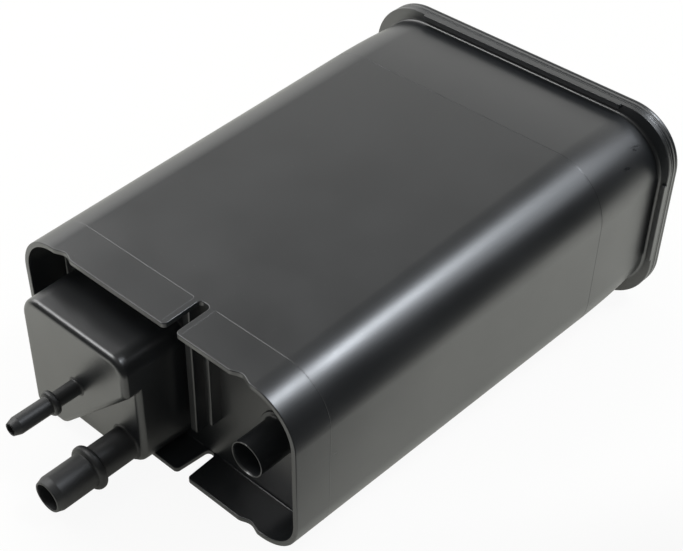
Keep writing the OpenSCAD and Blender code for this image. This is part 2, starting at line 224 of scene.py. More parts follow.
def spread(tree, value, start, end, out_start=0.0, out_end=1.0, kind="LINEAR"):
    """Runs from out_start to out_end while the value runs from start to end."""
    inputs = {"Value": value, "From Min": start, "From Max": end, "To Min": out_start, "To Max": out_end}
    return add_node(tree, "ShaderNodeMapRange", inputs, interpolation_type=kind).outputs["Result"]


def smooth(tree, value, start, end, out_start=0.0, out_end=1.0):
    return spread(tree, value, start, end, out_start, out_end, "SMOOTHSTEP")


def mixed_colour(tree, share, first, second):
    # The colour mix has its factor at input 0, its colours at 6 and 7 and its result at output 2.
    inputs = {0: share, 6: first, 7: second}
    return add_node(tree, "ShaderNodeMix", inputs, data_type="RGBA").outputs[2]


def ramp(tree, value, first, second, span=(0.0, 1.0)):
    """From the first colour to the second over the span."""
    node = add_node(tree, "ShaderNodeValToRGB", {"Fac": value})
    for element, place, colour in zip(node.color_ramp.elements, span, (first, second)):
        element.position = place
        element.color = (*colour, 1.0)
    return node.outputs["Color"]


def noise(tree, vector, scale, detail, **others):
    inputs = {"Vector": vector, "Scale": scale, "Detail": detail, **others}
    return add_node(tree, "ShaderNodeTexNoise", inputs).outputs["Fac"]


def cells(tree, vector, scale):
    inputs = {"Vector": vector, "Scale": scale}
    return add_node(tree, "ShaderNodeTexVoronoi", inputs).outputs["Distance"]


def relief(tree, height, strength, distance, invert=False, over=None):
    """A bump normal, laid over another one where that is given."""
    inputs = {"Height": height, "Strength": strength, "Distance": distance}
    if over is not None:
        inputs["Normal"] = over
    return add_node(tree, "ShaderNodeBump", inputs, invert=invert).outputs["Normal"]


def new_material(name):
    """A material, its tree, its shader and the place on the object."""
    mat = bpy.data.materials.new(name)
    mat.use_nodes = True
    tree = mat.node_tree
    spot = add_node(tree, "ShaderNodeTexCoord").outputs["Object"]
    return mat, tree, tree.nodes["Principled BSDF"], spot


# Materials

# Short scuffs on the shell: both ends and the half width.
SCUFFS = [
    ((71.5, 216.5, 42.1), (73.1, 224.5, 40.4), 0.7),
    ((72.2, 217.5, 41.6), (73.8, 220.5, 40.1), 0.8),
    ((76.1, 206.5, 38.1), (77.0, 211.5, 36.9), 0.9),
    ((77.5, 19.9, 6.6), (77.6, 22.6, 6.0), 0.4),
]
# Half the length of a scuff's ball, as a share of its ends' distance, and the ball's even core.
SCUFF_REACH, SCUFF_CORE = 0.6, 0.4
SCUFF_GLOSS, SCUFF_RELIEF, SCUFF_DEPTH = -0.11, 0.06, 0.0003

# Clouds in the plastic: texture scale, the part of the noise they use, and the swing of colour and gloss.
CLOUD_SCALE, CLOUD_SPAN = 22.0, (0.3, 0.7)
CLOUD_TINT, CLOUD_GLOSS = 0.12, 0.035
# Rub marks: stretched along the body and a little askew, the part of the noise that shows, and its weight.
RUB_STRETCH, RUB_TURN = (900.0, 60.0, 900.0), 0.25
RUB_SPAN, RUB_WEIGHT = (0.66, 0.8), 0.10
# Specks of dust, by distance from the middle of a cell.
SPECK_SCALE, SPECK_SPAN = 160.0, (0.075, 0.03)
DUST_COLOUR = (0.11, 0.11, 0.108, 1.0)
GRAIN_SCALE, GRAIN_DEPTH = 2600.0, 0.0002


def placed_scuffs(tree, spot):
    """One within the scuffs, which are stretched balls in the object's own space."""
    masks = []
    for start, end, half in SCUFFS:
        a, b = (Vector(to_row(q)) for q in (start, end))
        ball = add_node(tree, "ShaderNodeMapping", {
            "Vector": spot,
            "Location": (a + b) / 2,
            "Rotation": (b - a).to_track_quat("X", "Z").to_euler(),
            "Scale": ((b - a).length * SCUFF_REACH, half / MM_PER_M, half / MM_PER_M),
        }, vector_type="TEXTURE")
        inputs = {0: ball.outputs["Vector"]}
        size = add_node(tree, "ShaderNodeVectorMath", inputs, operation="LENGTH").outputs["Value"]
        masks.append(spread(tree, size, 1.0, SCUFF_CORE))
    return greatest(tree, *masks)


def moulded_plastic(name, colour, rough, grain=0.06, dust=0.35, ior=2.1, scuffed=False):
    """Satin black moulding: fine grain, cloudy gloss, faint rub marks and a little dust."""
    mat, tree, shader, spot = new_material(name)
    cloud = noise(tree, spot, CLOUD_SCALE, 5.0, Roughness=0.55)
    askew = {"Vector": spot, "Scale": RUB_STRETCH, "Rotation": (0.0, 0.0, RUB_TURN)}
    streak = add_node(tree, "ShaderNodeMapping", askew).outputs["Vector"]
    rubs = spread(tree, noise(tree, streak, 1.0, 3.0), *RUB_SPAN)
    specks = spread(tree, cells(tree, spot, SPECK_SCALE), *SPECK_SPAN)
    dirt = maths(tree, "MULTIPLY", specks, cloud)
    wear = maths(tree, "MULTIPLY_ADD", dirt, dust, maths(tree, "MULTIPLY", rubs, RUB_WEIGHT))
    dark, light = ([c * swing for c in colour] for swing in (1 - CLOUD_TINT, 1 + CLOUD_TINT))
    tint = ramp(tree, cloud, dark, light, CLOUD_SPAN)
    gloss = spread(tree, cloud, *CLOUD_SPAN, rough - CLOUD_GLOSS, rough + CLOUD_GLOSS)
    normal = relief(tree, noise(tree, spot, GRAIN_SCALE, 2.0), grain, GRAIN_DEPTH)
    if scuffed:
        marks = placed_scuffs(tree, spot)
        gloss = maths(tree, "MULTIPLY_ADD", marks, SCUFF_GLOSS, gloss)
        normal = relief(tree, marks, SCUFF_RELIEF, SCUFF_DEPTH, invert=True, over=normal)
    feed(tree, shader, {
        "Base Color": mixed_colour(tree, wear, tint, DUST_COLOUR),
        "Roughness": gloss,
        "IOR": ior,
        "Normal": normal,
    })
    return mat


def granules(name):
    mat, tree, shader, spot = new_material(name)
    grains = cells(tree, spot, 550.0)
    feed(tree, shader, {
        "Base Color": ramp(tree, grains, (0.035, 0.035, 0.036), (0.006, 0.006, 0.006)),
        "Roughness": 0.75,
        "Normal": relief(tree, grains, 0.9, 0.001, invert=True),
    })
    return mat


def felt(name):
    mat, tree, shader, spot = new_material(name)
    fibre = noise(tree, spot, 700.0, 6.0, Distortion=1.5)
    feed(tree, shader, {
        "Base Color": ramp(tree, fibre, (0.13, 0.13, 0.125), (0.34, 0.335, 0.32)),
        "Roughness": 0.95,
        "Sheen Weight": 0.25,
        "Normal": relief(tree, fibre, 0.6, 0.0006),
    })
    return mat


def drawn_wire(name):
    mat, tree, shader, spot = new_material(name)
    streak = noise(tree, spot, 900.0, 4.0)
    feed(tree, shader, {
        "Base Color": ramp(tree, streak, (0.30, 0.30, 0.31), (0.60, 0.60, 0.60)),
        "Metallic": 1.0,
        "Roughness": spread(tree, streak, 0.0, 1.0, 0.25, 0.45),
    })
    return mat


shell_mat = moulded_plastic("shell_plastic", (0.0072, 0.0086, 0.0100), 0.34, scuffed=True)
port_mat = moulded_plastic("port_plastic", (0.0085, 0.0092, 0.0100), 0.50, grain=0.03, dust=0.2, ior=1.75)
inner_mat = moulded_plastic("inner_plastic", (0.05, 0.05, 0.052), 0.55, ior=1.5)
carbon_mat = granules("carbon_granules")
felt_mat = felt("needled_felt")
wire_mat = drawn_wire("spring_wire")


# The shell's skin is unrolled: s runs round the front section, y along the body.

HALF_X = FRONT[0] / 2 - FRONT[2]
HALF_Z = FRONT[1] / 2 - FRONT[2]
ARC = math.pi / 2 * FRONT[2]
CORNERS = ("top_left", "top_right", "bottom_right", "bottom_left")
# Runs clockwise seen from the front, from the middle of the left side.
RUNS = [
    ("left", HALF_Z), ("top_left", ARC), ("top", 2 * HALF_X), ("top_right", ARC), ("right", 2 * HALF_Z),
    ("bottom_right", ARC), ("bottom", 2 * HALF_X), ("bottom_left", ARC), ("left_low", HALF_Z),
]
STARTS = {}
TOTAL = 0.0
for run_name, run_length in RUNS:
    STARTS[run_name] = TOTAL
    TOTAL += run_length

# Steps round a corner, and the spacing of points along straight stretches of the rim and of a ring.
CORNER_STEPS = 20
RIM_STEP, RING_STEP = 5.0, 6.0
# Rows of points on the skirt, the first ring behind it, and the rings before and behind the widest section.
SHEET_ROWS = (4.0, 9.0, 14.0)
BAND_Y = 20.2
FORE_ROWS = np.linspace(30.0, 178.0, 12)
REAR_ROWS = np.linspace(191.0, FLANGE_Y - NECK_FILLET, 9)


def around(s):
    """Returns (ax, az, dx, dz): share of the straight half sizes, and the outward direction."""
    s = min(max(s, 0.0), TOTAL)
    for name, length in RUNS:
        t = (s - STARTS[name]) / length
        if t <= 1.0 or name == "left_low":
            break
    a = t * math.pi / 2
    if name == "left":
        return -1, t, -1, 0
    if name == "top_left":
        return -1, 1, -math.cos(a), math.sin(a)
    if name == "top":
        return 2 * t - 1, 1, 0, 1
    if name == "top_right":
        return 1, 1, math.sin(a), math.cos(a)
    if name == "right":
        return 1, 1 - 2 * t, 1, 0
    if name == "bottom_right":
        return 1, -1, math.cos(a), -math.sin(a)
    if name == "bottom":
        return 1 - 2 * t, -1, 0, -1
    if name == "bottom_left":
        return -1, -1, -math.sin(a), -math.cos(a)
    return -1, t - 1, -1, 0


def ring_places():
    places = []
    for name, length in RUNS:
        steps = CORNER_STEPS if name in CORNERS else max(3, int(length / RING_STEP))
        places.extend(np.linspace(STARTS[name], STARTS[name] + length, steps + 1)[:-1])
    return np.array(places)


RING_S = ring_places()
RING = np.array([around(s) for s in RING_S])


def ring(size, inset, y):
    """Points round a rounded section at y, drawn in by inset."""
    w, h, r = size
    x = RING[:, 0] * (w / 2 - r) + RING[:, 2] * (r - inset)
    z = RING[:, 1] * (h / 2 - r) + RING[:, 3] * (r - inset)
    return np.stack([x, np.full(len(RING), y), z], axis=1)


def ring_normals(out, back):
    """Normals round a section: the share that points outwards and the share towards the rear."""
    return np.stack([RING[:, 2] * out, np.full(len(RING), back), RING[:, 3] * out], axis=1)


def blend(a, b, t):
    return tuple(p + (q - p) * t for p, q in zip(a, b))


def section(y):
    if y <= BELLY_Y:
        return blend(FRONT, BELLY, y / BELLY_Y)
    t = (y - BELLY_Y) / (FLANGE_Y - BELLY_Y)
    w, h, r = blend(BELLY, NECK, t)
    swell = 8 * REAR_SWELL * t * (1 - t)
    return w + swell, h + swell, r


def rear_tilt(y):
    """How far the normal leans towards the rear behind the widest section."""
    t = (y - BELLY_Y) / (FLANGE_Y - BELLY_Y)
    return REAR_DRAFT - 4 * REAR_SWELL * (1 - 2 * t) / (FLANGE_Y - BELLY_Y)


def skin(s, y, depth=0.0):
    ax, az, dx, dz = around(s)
    w, h, r = section(y)
    return (ax * (w / 2 - r) + dx * (r - depth), y, az * (h / 2 - r) + dz * (r - depth))


def skin_normal(s):
    _, _, dx, dz = around(s)
    return unit((dx, -DRAFT, dz))


def skin_along(s):
    _, _, dx, dz = around(s)
    return np.array((dz, 0.0, -dx))


def slot_edge(edge, flare):
    """Half of a bracket slot in s and y, from the rim to its closed end; flare widens its mouth."""
    mouth = edge - flare
    straight = SLOT_END - 2 * SLOT_R
    points = [(mouth - SLOT_R * (1 - math.sin(a)), SLOT_R * (1 - math.cos(a))) for a in quarter(10)]
    points += [(mouth + flare * t, SLOT_R + straight * t) for t in np.linspace(0, 1, 8)[1:-1]]
    points += [(edge + SLOT_R * (1 - math.cos(a)), SLOT_END - SLOT_R * (1 - math.sin(a)))
               for a in quarter(10)]
    return points


def scallop(mid):
    return [(mid + u * SCALLOP_HALF, SCALLOP_DEPTH * (0.5 + 0.5 * math.cos(math.pi * u)) ** SCALLOP_SHAPE)
            for u in np.linspace(-1, 1, 25)]


def straight_rim(start, end):
    """Points of the straight rim between start and end, without those two."""
    return [(s, 0.0) for s in np.linspace(start, end, max(3, int((end - start) / RIM_STEP)))[1:-1]]


def rim_run(mid, turned, bracket, flare):
    """The rim over one long side: scallop, slot, scallop. The lower side is turned: s runs against x."""
    first, last = scallop(mid - SCALLOP_X), scallop(mid + SCALLOP_X)
    slot_mid = mid - bracket[0] if turned else mid + bracket[0]
    half = slot_edge(slot_mid - bracket[1] / 2, flare)
    slot = half + [(2 * slot_mid - s, y) for s, y in reversed(half)]
    return (first + straight_rim(first[-1][0], slot[0][0]) + slot
            + straight_rim(slot[-1][0], last[0][0]) + last)


def rim_path():
    path = []
    for name, length in RUNS:
        start = STARTS[name]
        if name == "top":
            path.extend(rim_run(start + HALF_X, False, UPPER_SLOT, 0.0))
        elif name == "bottom":
            path.extend(rim_run(start + HALF_X, True, LOWER_SLOT, LOWER_FLARE))
        else:
            steps = CORNER_STEPS if name in CORNERS else max(4, int(length / RIM_STEP))
            path.extend([(s, 0.0) for s in np.linspace(start, start + length, steps + 1)])
    clean = [path[0]]
    for p in path[1:]:
        if math.dist(p, clean[-1]) > 1e-4:
            clean.append(p)
    # The rim leans back from its upper edge; the slots' closed ends stay in place.
    lean = math.tan(RIM_TILT)
    return np.array([(s, y + (FRONT[1] / 2 - skin(s, 0.0)[2]) * lean * (1 - min(y / SLOT_END, 1.0)))
                     for s, y in clean])


def sideways(path):
    """Directions across a path in s and y, to its left."""
    tangent = unit(np.gradient(path, axis=0))
    return np.stack([-tangent[:, 1], tangent[:, 0]], axis=1)


def fill(boundary, inner_points, holes=()):
    """Triangles over a closed boundary in the plane, keeping its points in order."""
    loops = [list(map(tuple, boundary))] + [list(map(tuple, h)) for h in holes]
    verts = []
    edges = []
    for loop in loops:
        base = len(verts)
        verts.extend(loop)
        edges.extend([(base + i, base + (i + 1) % len(loop)) for i in range(len(loop))])
    verts.extend(map(tuple, inner_points))
    # Output 1 keeps what lies inside the boundary, output 2 all that the edges part.
    output = 2 if holes else 1
    out = delaunay_2d_cdt([Vector((float(a), float(b))) for a, b in verts], edges, [], output, 1e-6)
    return np.array([(v.x, v.y) for v in out[0]]), [tuple(f) for f in out[2]]


# Body shell

def rim_edge(surf, path, inward):
    """The rim's rounded edge, from the outer face to the inner one."""
    profile = [(LIP * (1 - math.sin(a)), LIP * (1 - math.cos(a)), a) for a in quarter(6)]
    profile += [(LIP * (1 - math.cos(a)), WALL - LIP * (1 - math.sin(a)), a + math.pi / 2)
                for a in quarter(6)]
    rows, normals = [], []
    for offset, depth, a in profile:
        rows.append([skin(s, y, depth) for s, y in path + inward * offset])
        line = []
        for (s, _), (ns, ny) in zip(path, inward):
            into = ns * skin_along(s) + np.array((0.0, ny, 0.0))
            line.append(math.cos(a) * skin_normal(s) - math.sin(a) * into)
        normals.append(line)
    surf.grid(rows, normals, closed=False)


def skirt_sheet(surf, edge, depth, sign):
    """One side of the skirt wall, from just inside the rim to the first ring behind it."""
    end = [(TOTAL, y) for y in SHEET_ROWS]
    far = [(TOTAL, BAND_Y)] + [(s, BAND_Y) for s in RING_S[::-1]]
    start = [(0.0, y) for y in SHEET_ROWS[::-1]]
    inner = []
    for name in CORNERS:
        for s in np.linspace(STARTS[name], STARTS[name] + ARC, CORNER_STEPS + 1):
            inner.extend([(s, y) for y in SHEET_ROWS])
    flat, faces = fill(list(map(tuple, edge)) + end + far + start, inner)
    points = np.array([skin(s, y, depth) for s, y in flat])
    surf.add(points, faces, np.array([skin_normal(s) * sign for s, _ in flat]))


def drafted_skin(surf):
    """The skin with its parting groove, and the fillet into the flange."""
    groove = [
        (-0.5, 0.0, -DRAFT), (-0.25, 0.5, PARTING_TILT), (0.0, 1.0, 0.0),
        (0.25, 0.5, -PARTING_TILT), (0.5, 0.0, rear_tilt(BELLY_Y)),
    ]
    # Rows of (y, inset, lean of the normal along y).
    rows = [(y, 0.0, -DRAFT) for y in (BAND_Y, *FORE_ROWS)]
    rows += [(BELLY_Y + u * PARTING_WIDTH, d * PARTING_DEPTH, tilt) for u, d, tilt in groove]
    rows += [(y, 0.0, rear_tilt(y)) for y in REAR_ROWS]
    points = [ring(section(y), inset, y) for y, inset, _ in rows]
    normals = [ring_normals(1.0, tilt) for _, _, tilt in rows]
    for a in quarter(8)[1:]:
        inset = -NECK_FILLET * (1 - math.cos(a))
        points.append(ring(NECK, inset, FLANGE_Y - NECK_FILLET * (1 - math.sin(a))))
        normals.append(ring_normals(math.cos(a), -math.sin(a)))
    surf.grid(points, normals)


def flange(surf):
    """The flange's front face, and its edge up to the weld."""
    foot = (NECK[0] + 2 * NECK_FILLET, NECK[1] + 2 * NECK_FILLET, NECK[2] + NECK_FILLET)
    points = [ring(foot, 0.0, FLANGE_Y), ring(FLANGE, FLANGE_EDGE, FLANGE_Y)]
    normals = [ring_normals(0.0, -1.0), ring_normals(0.0, -1.0)]
    for a in quarter(5)[1:]:
        inset = FLANGE_EDGE * (1 - math.sin(a))
        points.append(ring(FLANGE, inset, FLANGE_Y + FLANGE_EDGE * (1 - math.cos(a))))
        normals.append(ring_normals(math.sin(a), -math.cos(a)))
    for a in quarter(4):
        inset = WELD_EDGE * (1 - math.cos(a))
        points.append(ring(FLANGE, inset, WELD_Y - WELD_EDGE * (1 - math.sin(a))))
        normals.append(ring_normals(math.cos(a), math.sin(a)))
    surf.grid(points, normals)


def body_shell():
    surf = Surface()
    path = rim_path()
    inward = sideways(path)
    inward[0] = inward[-1] = (0.0, 1.0)
    rim_edge(surf, path, inward)
    skirt_sheet(surf, path + inward * LIP, 0.0, 1.0)
    skirt_sheet(surf, path + inward * LIP, WALL, -1.0)
    drafted_skin(surf)
    flange(surf)
    surf.build("body_shell", shell_mat, "canister_body")


# Witness line: half width, rise, corner radius, place, distance from the slots, and its ends near the rim.
LINE_HALF, LINE_RISE, LINE_TURN, LINE_Y, LINE_GAP = 0.18, 0.035, 1.0, 18.4, 2.6
LINE_UPPER_END, LINE_LOWER_END = 0.6, 2.2
# Across the line: shares of the half width and of the rise, and how far its sides lean.
LINE_PROFILE = ((-1.0, -0.02), (-0.6, 0.6), (0.0, 1.0), (0.6, 0.6), (1.0, -0.02))
LINE_LEAN = 0.5


def line_run(surf, start, start_y, end, end_y):
    """One stretch of the line, from beside one slot round the skirt to beside the other."""
    far = LINE_Y - LINE_TURN
    bend = [(LINE_TURN * (1 - math.cos(a)), LINE_Y - LINE_TURN * (1 - math.sin(a))) for a in quarter(7)]
    path = [(start, y) for y in np.linspace(start_y, far, 8)]
    path += [(start + s, y) for s, y in bend[1:]]
    path += [(s, LINE_Y) for s in np.linspace(start + LINE_TURN, end - LINE_TURN, 150)[1:-1]]
    path += [(end - s, y) for s, y in reversed(bend)]
    path += [(end, y) for y in np.linspace(far, end_y, 8)[1:]]
    path = np.array(path)
    rows, normals = [], []
    for u, height in LINE_PROFILE:
        points, line = [], []
        for (s, y), (cs, cy) in zip(path, sideways(path)):
            at = (s + u * LINE_HALF * cs) % TOTAL
            points.append(skin(at, y + u * LINE_HALF * cy, -LINE_RISE * height))
            side = cs * skin_along(at) + np.array((0.0, cy, 0.0))
            line.append(skin_normal(at) + LINE_LEAN * u * side)
        rows.append(points)
        normals.append(line)
    surf.grid(rows, normals, closed=False)


def witness_line():
    """The fine raised line left where the mould's halves met, round the skirt and up to both slots."""
    surf = Surface()
    upper = STARTS["top"] + HALF_X + UPPER_SLOT[0]
    lower = STARTS["bottom"] + HALF_X - LOWER_SLOT[0]
    upper_off = UPPER_SLOT[1] / 2 + LINE_GAP
    lower_off = LOWER_SLOT[1] / 2 + LINE_GAP
    line_run(surf, upper + upper_off, LINE_UPPER_END, lower - lower_off, LINE_LOWER_END)
    line_run(surf, lower + lower_off, LINE_LOWER_END, TOTAL + upper - upper_off, LINE_UPPER_END)
    surf.build("witness_line", shell_mat, "canister_body")


# End plate

def at_slot(sample):
    x, w = UPPER_SLOT if sample[3] > 0 else LOWER_SLOT
    return sample[2] == 0 and abs(sample[0] * HALF_X - x) < w / 2 + SLOT_CLEAR


def end_plate():
    """The plate that closes the chambers, with a fillet up to the skirt and a hole for the vent tube."""
    surf = Surface()
    size = section(PLATE_Y)
    points, normals = [], []
    for a in quarter(7):
        inset = WALL + PLATE_FILLET * (1 - math.cos(a))
        points.append(ring(size, inset, PLATE_Y - PLATE_FILLET * (1 - math.sin(a))))
        normals.append(ring_normals(-math.cos(a), -math.sin(a)))
    # The fillet stays off the bracket slots.
    surf.grid(points, normals, keep=[not at_slot(sample) for sample in RING])

    boundary = ring(size, WALL - PLATE_INTO_WALL, PLATE_Y)[::-1, [0, 2]]
    hole = [(VENT_X + VENT_BORE * math.cos(a), VENT_BORE * math.sin(a))
            for a in np.linspace(0, 2 * math.pi, 48, endpoint=False)]
    flat, faces = fill(boundary, [], [hole])
    mids = [np.mean(flat[list(f)], axis=0) for f in faces]
    faces = [f for f, mid in zip(faces, mids) if math.dist(mid, (VENT_X, 0.0)) > VENT_BORE - HOLE_SLACK]
    plate = np.stack([flat[:, 0], np.full(len(flat), PLATE_Y), flat[:, 1]], axis=1)
    surf.add(plate, faces, facing(len(flat), -1.0))
    surf.build("end_plate", shell_mat, "canister_body")


# The port box: sides, the two steps of its front, corner radii, face rounding and draft.
BOX_LEFT, BOX_RIGHT, BOX_TOP, BOX_BOTTOM = -63.0, -0.4, 23.2, -39.6
BOX_FACE, BOX_LOW_FACE = -13.8, -7.8
BOX_LEFT_R, BOX_RIGHT_R, BOX_TANK_R, BOX_LOW_R, DIAGONAL_R = 10.5, 8.0, 10.5, 6.0, 4.0
BOX_ROUND, BOX_DRAFT = 2.7, 1.1
# The fillet at the foot, how far the raised step stops short of the plate, and the hair between the sides.
BOX_FOOT, RAISED_SHORT, BOX_HAIR = 1.2, 1.3, 0.02
# Where the diagonal step meets the lower side.
DIAGONAL_X = BOX_LEFT + 18.0
BOX_CORNER_STEPS = 12


def tangent_outline(corners):
    """Outline round a convex set of circles, clockwise seen from the front, with outward directions."""
    n = len(corners)
    out = []
    for i in range(n):
        a, b = corners[i], corners[(i + 1) % n]
        d = np.array((b[0] - a[0], b[1] - a[1]))
        length = np.linalg.norm(d)
        d = d / length
        side = np.array((-d[1], d[0]))
        k = (a[2] - b[2]) / length
        out.append(d * k + side * math.sqrt(1 - k * k))
    centres, dirs, radii = [], [], []
    for i in range(n):
        n0, n1 = out[i - 1], out[i]
        a0 = math.atan2(n0[1], n0[0])
        a1 = math.atan2(n1[1], n1[0])
        while a1 > a0:
            a1 -= 2 * math.pi
        for a in np.linspace(a0, a1, BOX_CORNER_STEPS + 1):
            centres.append(corners[i][:2])
            dirs.append((math.cos(a), math.sin(a)))
            radii.append(corners[i][2])
    return np.array(centres), np.array(dirs), np.array(radii)


def box_step(surf, corners, face, base, foot, within):
    """One drafted step of the box, from its rounded face to base, drawn in a hair by within."""
    centres, dirs, radii = tangent_outline(corners)
    points, normals = [], []
    tilt = BOX_DRAFT / (PLATE_Y - BOX_FACE)

    def loop(inset, y, out, back):
        grown = tilt * (y - BOX_FACE) - inset - within
        xz = centres + dirs * (radii + grown)[:, None]
        points.append(np.stack([xz[:, 0], np.full(len(xz), y), xz[:, 1]], axis=1))
        normals.append(np.stack([dirs[:, 0] * out, np.full(len(xz), -back), dirs[:, 1] * out], axis=1))

    for a in quarter(10):
        loop(BOX_ROUND * (1 - math.sin(a)), face + BOX_ROUND * (1 - math.cos(a)),
             math.sin(a), math.cos(a) + tilt * math.sin(a))
    loop(0.0, base - foot, 1.0, tilt)
    if foot:
        for a in quarter(7)[1:]:
            loop(-foot * (1 - math.cos(a)), base - foot * (1 - math.sin(a)), math.cos(a), math.sin(a))
    surf.grid(points, normals)
    surf.cap(points[0], -1.0)


def port_box():
    surf = Surface()
    d = DIAGONAL_R
    # How far a circle's middle moves along a side that meets the diagonal at 45 degrees.
    shift = d * (math.sqrt(2) - 1)
    # Clockwise seen from the front: top left, top right, bottom right, bottom left.
    low = [
        (BOX_LEFT + BOX_LEFT_R, BOX_TOP - BOX_LEFT_R, BOX_LEFT_R),
        (BOX_RIGHT - BOX_RIGHT_R, BOX_TOP - BOX_RIGHT_R, BOX_RIGHT_R),
        (BOX_RIGHT - BOX_TANK_R, BOX_BOTTOM + BOX_TANK_R, BOX_TANK_R),
        (BOX_LEFT + BOX_LOW_R, BOX_BOTTOM + BOX_LOW_R, BOX_LOW_R),
    ]
    raised = [
        low[0], low[1],
        (BOX_RIGHT - d, BOX_BOTTOM + BOX_RIGHT - DIAGONAL_X + shift, d),
        (DIAGONAL_X - shift, BOX_BOTTOM + d, d),
        low[3],
    ]
    box_step(surf, low, BOX_LOW_FACE, PLATE_Y, BOX_FOOT, BOX_HAIR)
    box_step(surf, raised, BOX_FACE, PLATE_Y - RAISED_SHORT, 0.0, 0.0)
    surf.build("port_box", shell_mat, "canister_body")


# Turned pieces

LATHE_STEPS = 96
# Hose ports: the stem's undercut, the fillet at the foot, how far the foot is sunk into the box.
PORT_UNDERCUT, PORT_FOOT, PORT_SUNK = 0.4, 1.0, 0.9
# The bead's rounding as a share of its width, and the small cone at its root.
BEAD_ROUND, BEAD_ROOT = 0.45, 0.3
# The nose: where it starts to taper, how much, the soft start of the taper, and the edge of the tip.
NOSE_LENGTH, NOSE_TAPER, NOSE_SOFT, NOSE_EDGE = 3.3, 0.9, (0.08, 2.9), 0.45
# The bore's rounded mouth as (further out, further in) and how far it goes behind the face.
BORE_MOUTH, BORE_DEPTH = ((0.4, 0.0), (0.1, 0.1), (0.0, 0.5)), 2.0
BORE_CENTRE = 0.01

# Vent tube: the collar's overhang, height, edge and root, how far it is sunk, and the gap to the rim.
COLLAR_OUT, COLLAR_H, COLLAR_EDGE, COLLAR_ROOT = 2.2, 0.9, 0.3, 0.6
COLLAR_SUNK, VENT_SHORT = 0.5, 0.2
# The tube's lip, its flat, the depth of the chamfer inside it, and how far the bore goes behind the plate.
VENT_LIP, VENT_FLAT, VENT_CHAMFER, VENT_DEPTH = 0.2, 0.25, 1.3, 2.5


def lathe(surf, runs, x, y, z):
    """Each run of (radius, distance in front of y) is smooth; runs meet at crisp edges."""
    turn = np.linspace(0, 2 * math.pi, LATHE_STEPS, endpoint=False)
    for run in runs:
        surf.grid([np.stack([x + r * np.cos(turn), np.full(LATHE_STEPS, y - h), z + r * np.sin(turn)], axis=1)
                   for r, h in run])


def turn_arc(cr, ch, r, a0, a1, n=7):
    """Arc of a turned profile about (cr, ch); 0 degrees points outwards, 90 towards the tip."""
    return [(cr + r * math.cos(math.radians(a)), ch + r * math.sin(math.radians(a)))
            for a in np.linspace(a0, a1, n)]


def hose_port(name, x, z, face, od, bead_od, bead_w, bead_at, reach, bore):
    """A beaded spigot on a face of the box; bead_at is from the tip, reach from the rim to the tip."""
    tip = reach + face
    r = od / 2
    stem = r - PORT_UNDERCUT
    nose = r - NOSE_TAPER
    taper = tip - NOSE_LENGTH
    low, high = (tip - bead_at + side * bead_w / 2 for side in (-1, 1))
    bead_round = bead_w * BEAD_ROUND
    crown = bead_od / 2 - bead_round
    outside = (
        [(stem + PORT_FOOT, -PORT_SUNK)]
        + turn_arc(stem + PORT_FOOT, PORT_FOOT, PORT_FOOT, -90, -180)
        + [(stem, low - BEAD_ROOT), (stem + BEAD_ROOT, low)]
        + turn_arc(crown, low + bead_round, bead_round, -90, 0)
        + turn_arc(crown, high - bead_round, bead_round, 0, 90)
        + [(r + BEAD_ROOT, high), (r, high + BEAD_ROOT), (r, taper)]
    )
    end = (
        [(r, taper), (r - NOSE_SOFT[0], tip - NOSE_SOFT[1]), (nose, tip - NOSE_EDGE)]
        + turn_arc(nose - NOSE_EDGE, tip - NOSE_EDGE, NOSE_EDGE, 10, 90)
        + [(bore / 2 + out, tip - back) for out, back in BORE_MOUTH]
        + [(bore / 2, -BORE_DEPTH)]
    )
    bottom = [(bore / 2, -BORE_DEPTH), (BORE_CENTRE, -BORE_DEPTH)]
    surf = Surface()
    lathe(surf, [outside, end, bottom], x, face, z)
    surf.build(name, port_mat, "canister_body")


def vent_tube():
    r = VENT_R
    collar = r + COLLAR_OUT
    shoulder = COLLAR_H - COLLAR_EDGE
    mouth = PLATE_Y - VENT_SHORT
    flat = r - VENT_LIP - VENT_FLAT
    outside = (
        [(collar, -COLLAR_SUNK), (collar, shoulder)]
        + turn_arc(collar - COLLAR_EDGE, shoulder, COLLAR_EDGE, 10, 90, 5)
        + [(r + COLLAR_ROOT, COLLAR_H)]
        + turn_arc(r + COLLAR_ROOT, COLLAR_H + COLLAR_ROOT, COLLAR_ROOT, -90, -180, 6)
        + [(r, mouth - VENT_LIP)]
        + turn_arc(r - VENT_LIP, mouth - VENT_LIP, VENT_LIP, 5, 90, 5)
        + [(flat, mouth)]
    )
    inside = [(flat, mouth), (VENT_BORE, mouth - VENT_CHAMFER), (VENT_BORE, -VENT_DEPTH)]
    surf = Surface()
    lathe(surf, [outside, inside], VENT_X, PLATE_Y, 0.0)
    surf.build("vent_tube", shell_mat, "canister_body")


# Ribs and strips

# Each guide rib: left and right side, lower end and edge rounding.
GUIDE_RIBS = ((4.95, 8.95, -27.0, 0.7), (16.65, 18.45, -16.0, 0.5))
RIB_REACH, RIB_SUNK, RIB_INTO_WALL = 5.6, 1.0, 0.6
# Strips on the flange's front: half lengths, width, rise, how far they are sunk, and edge rounding.
STRIP_HALF_X, STRIP_HALF_Z, STRIP_WIDTH = 56.5, 21.5, 2.4
STRIP_RISE, STRIP_SUNK, STRIP_EDGE = 1.3, 0.6, 0.3


